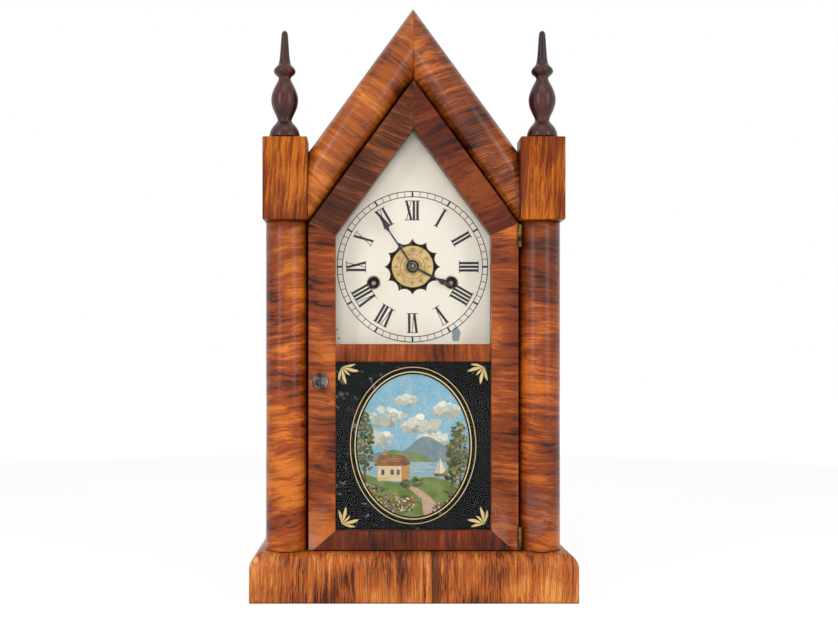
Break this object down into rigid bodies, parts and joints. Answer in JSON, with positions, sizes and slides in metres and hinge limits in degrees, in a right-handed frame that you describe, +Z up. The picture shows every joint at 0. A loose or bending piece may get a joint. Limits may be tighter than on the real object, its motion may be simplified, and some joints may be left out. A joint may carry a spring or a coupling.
{
  "type": "steeple clock",
  "caption": "Steeple shelf clock: pointed wooden case with columns and finials, glazed door with painted tablet, dial, hands, pendulum, gong and spring movement.",
  "frame": {"origin": "on the surface the clock stands on, under the middle of its box", "axes": "+X to the viewer's right, +Y from the door to the backboard, +Z up"},
  "size_m": [0.2736, 0.108, 0.5008],
  "materials": {
    "veneer": "polished veneer",
    "door_wood": "polished veneer",
    "case_wood": "dark stain",
    "bare_pine": "planed",
    "finial_wood": "gloss varnish",
    "clear_glass": "old window glass",
    "painted_glass": "reverse painted",
    "putty": "matte",
    "brass": "aged",
    "steel": "drawn",
    "dark_steel": "blackened",
    "knob_bronze": "dark patina",
    "dial_paint": "aged white paint",
    "iron": "black paint"
  },
  "bodies": {
    "case": {"base_front_moulding": "veneer", "base_returns": "veneer", "side_boards": "case_wood", "roof_boards": "case_wood", "bottom_board": "bare_pine", "backboard": "bare_pine", "front_frame": "case_wood", "left_column": "veneer", "right_column": "veneer", "left_gable_moulding": "veneer", "right_gable_moulding": "veneer", "left_capital": "veneer", "right_capital": "veneer", "left_finial": "finial_wood", "right_finial": "finial_wood", "hinge_case_leaves": "brass", "dial_plate": "dial_paint", "dial_cleats": "bare_pine", "wood_screws": "steel", "gong_base": "iron", "gong_coil": "steel", "movement_rails": "bare_pine", "front_plate": "brass", "back_plate": "brass", "plate_pillars": "steel", "mainsprings": "steel", "alarm_bracket": "iron"},
    "door": {"door_latch_stile": "door_wood", "door_hinge_stile": "door_wood", "door_bottom_rail": "door_wood", "door_middle_rail": "door_wood", "door_left_gable_rail": "door_wood", "door_right_gable_rail": "door_wood", "upper_glass": "clear_glass", "lower_glass": "painted_glass", "glazing_putty": "putty", "hinge_door_leaves": "brass"},
    "latch": {"door_knob": "knob_bronze", "latch_tongue": "steel"},
    "pendulum": {"pendulum_rod": "steel", "pendulum_bob": "brass"},
    "verge": {"verge_and_crutch": "steel"},
    "minute": {"minute_arbor": "steel", "minute_hand": "dark_steel"},
    "hour": {"hour_pipe_wheel": "brass", "hour_hand": "dark_steel"},
    "alarm_setting": {"alarm_disc": "brass"},
    "motion": {"motion_wheel": "brass"},
    "time_winder": {"time_winding_arbor": "steel"},
    "time_great": {"time_great_wheel": "brass"},
    "time_second": {"time_second_wheel": "brass"},
    "time_third": {"time_third_wheel": "brass"},
    "escape": {"escape_wheel": "brass"},
    "centre_drive": {"centre_wheel": "brass"},
    "strike_winder": {"strike_winding_arbor": "steel"},
    "strike_great": {"strike_great_wheel": "brass"},
    "strike_second": {"strike_second_wheel": "brass"},
    "fly": {"strike_fly": "brass"},
    "hammer": {"strike_hammer": "steel"},
    "alarm_beater": {"alarm_hammer": "steel"}
  },
  "joints": [
    {"name": "door_hinge", "type": "hinge", "parent": "case", "child": "door", "pos_m": [0.0893, -0.042, 0.15], "axis": [0, 0, 1], "range_deg": [0, 90]},
    {"name": "latch_turn", "type": "hinge", "parent": "door", "child": "latch", "pos_m": [-0.0778, -0.03, 0.1843], "axis": [0, -1, 0], "range_deg": [0, 90]},
    {"name": "pendulum_swing", "type": "hinge", "parent": "case", "child": "pendulum", "pos_m": [-0.01, 0, 0.328], "axis": [0, 1, 0], "range_deg": [-4, 4]},
    {"name": "verge_rock", "type": "hinge", "parent": "case", "child": "verge", "pos_m": [-0.01, 0, 0.328], "axis": [0, 1, 0], "range_deg": [-4, 4]},
    {"name": "minute_turn", "type": "hinge", "parent": "case", "child": "minute", "pos_m": [0, 0, 0.2827], "axis": [0, 1, 0], "continuous": true},
    {"name": "hour_turn", "type": "hinge", "parent": "case", "child": "hour", "pos_m": [0, 0, 0.2827], "axis": [0, 1, 0], "continuous": true},
    {"name": "motion_turn", "type": "hinge", "parent": "case", "child": "motion", "pos_m": [0, 0.01, 0.2707], "axis": [0, 1, 0], "continuous": true},
    {"name": "alarm_set", "type": "hinge", "parent": "hour", "child": "alarm_setting", "pos_m": [0, 0, 0.2827], "axis": [0, 1, 0], "continuous": true},
    {"name": "time_winding", "type": "hinge", "parent": "case", "child": "time_winder", "pos_m": [0.03356, 0.02, 0.269], "axis": [0, 1, 0], "continuous": true},
    {"name": "strike_winding", "type": "hinge", "parent": "case", "child": "strike_winder", "pos_m": [-0.03356, 0.02, 0.269], "axis": [0, 1, 0], "continuous": true},
    {"name": "escape_turn", "type": "hinge", "parent": "case", "child": "escape", "pos_m": [-0.01, 0.02, 0.311], "axis": [0, 1, 0], "continuous": true},
    {"name": "time_third_turn", "type": "hinge", "parent": "case", "child": "time_third", "pos_m": [0.00627, 0.02, 0.3069], "axis": [0, 1, 0], "continuous": true},
    {"name": "time_second_turn", "type": "hinge", "parent": "case", "child": "time_second", "pos_m": [0.01503, 0.02, 0.2926], "axis": [0, 1, 0], "continuous": true},
    {"name": "time_great_turn", "type": "hinge", "parent": "case", "child": "time_great", "pos_m": [0.03356, 0.02, 0.269], "axis": [0, 1, 0], "continuous": true},
    {"name": "centre_drive_turn", "type": "hinge", "parent": "case", "child": "centre_drive", "pos_m": [0, 0.02, 0.2827], "axis": [0, 1, 0], "continuous": true},
    {"name": "fly_turn", "type": "hinge", "parent": "case", "child": "fly", "pos_m": [-0.02871, 0.02, 0.3145], "axis": [0, 1, 0], "continuous": true},
    {"name": "strike_second_turn", "type": "hinge", "parent": "case", "child": "strike_second", "pos_m": [-0.02579, 0.02, 0.29798], "axis": [0, 1, 0], "continuous": true},
    {"name": "strike_great_turn", "type": "hinge", "parent": "case", "child": "strike_great", "pos_m": [-0.03356, 0.02, 0.269], "axis": [0, 1, 0], "continuous": true},
    {"name": "hammer_lift", "type": "hinge", "parent": "case", "child": "hammer", "pos_m": [-0.018, 0.02, 0.236], "axis": [0, 1, 0], "range_deg": [0, 15]},
    {"name": "alarm_hammer_lift", "type": "hinge", "parent": "case", "child": "alarm_beater", "pos_m": [0.0523, 0.0316, 0.1675], "axis": [0, -1, 0], "range_deg": [0, 15]}
  ],
  "couplings": [
    {"joint": "verge_rock", "follows": "pendulum_swing", "ratio": 1},
    {"joint": "motion_turn", "follows": "minute_turn", "ratio": -0.33333},
    {"joint": "hour_turn", "follows": "minute_turn", "ratio": 0.083333},
    {"joint": "time_third_turn", "follows": "escape_turn", "ratio": -0.12963},
    {"joint": "time_second_turn", "follows": "escape_turn", "ratio": 0.016804},
    {"joint": "time_great_turn", "follows": "escape_turn", "ratio": -0.0018671},
    {"joint": "centre_drive_turn", "follows": "escape_turn", "ratio": -0.0084019},
    {"joint": "strike_second_turn", "follows": "fly_turn", "ratio": -0.12963},
    {"joint": "strike_great_turn", "follows": "fly_turn", "ratio": 0.014403}
  ]
}
